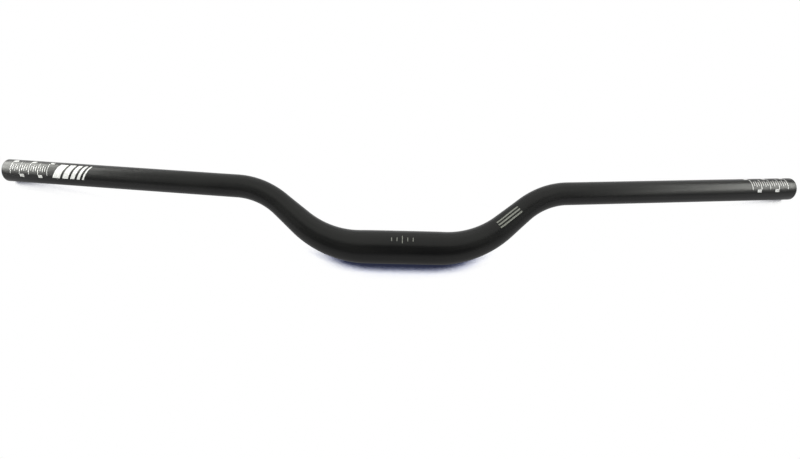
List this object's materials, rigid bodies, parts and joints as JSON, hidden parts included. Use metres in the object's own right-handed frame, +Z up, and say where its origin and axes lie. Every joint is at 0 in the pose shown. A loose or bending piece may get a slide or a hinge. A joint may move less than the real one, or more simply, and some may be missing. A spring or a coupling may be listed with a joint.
{
  "type": "riser handlebar",
  "caption": "Bent tube handlebar for a bicycle, with a thick clamp barrel, a tall rise on each side and straight swept-back grips.",
  "frame": {"origin": "middle of the clamp barrel, on its axis", "axes": "+X along the barrel to the rider's right, +Y over the table from the barrel to the grips, +Z up from the table that the bar lies on"},
  "size_m": [0.8032, 0.1086, 0.047],
  "materials": {
    "satin_black": "satin black anodised",
    "white_print": "white screen-printed ink, for the trim scales and the arm stripes",
    "grey_print": "grey screen-printed ink, for the centre marks and the rise stripes"
  },
  "bodies": {
    "root": {"handlebar": "satin_black"}
  },
  "joints": []
}
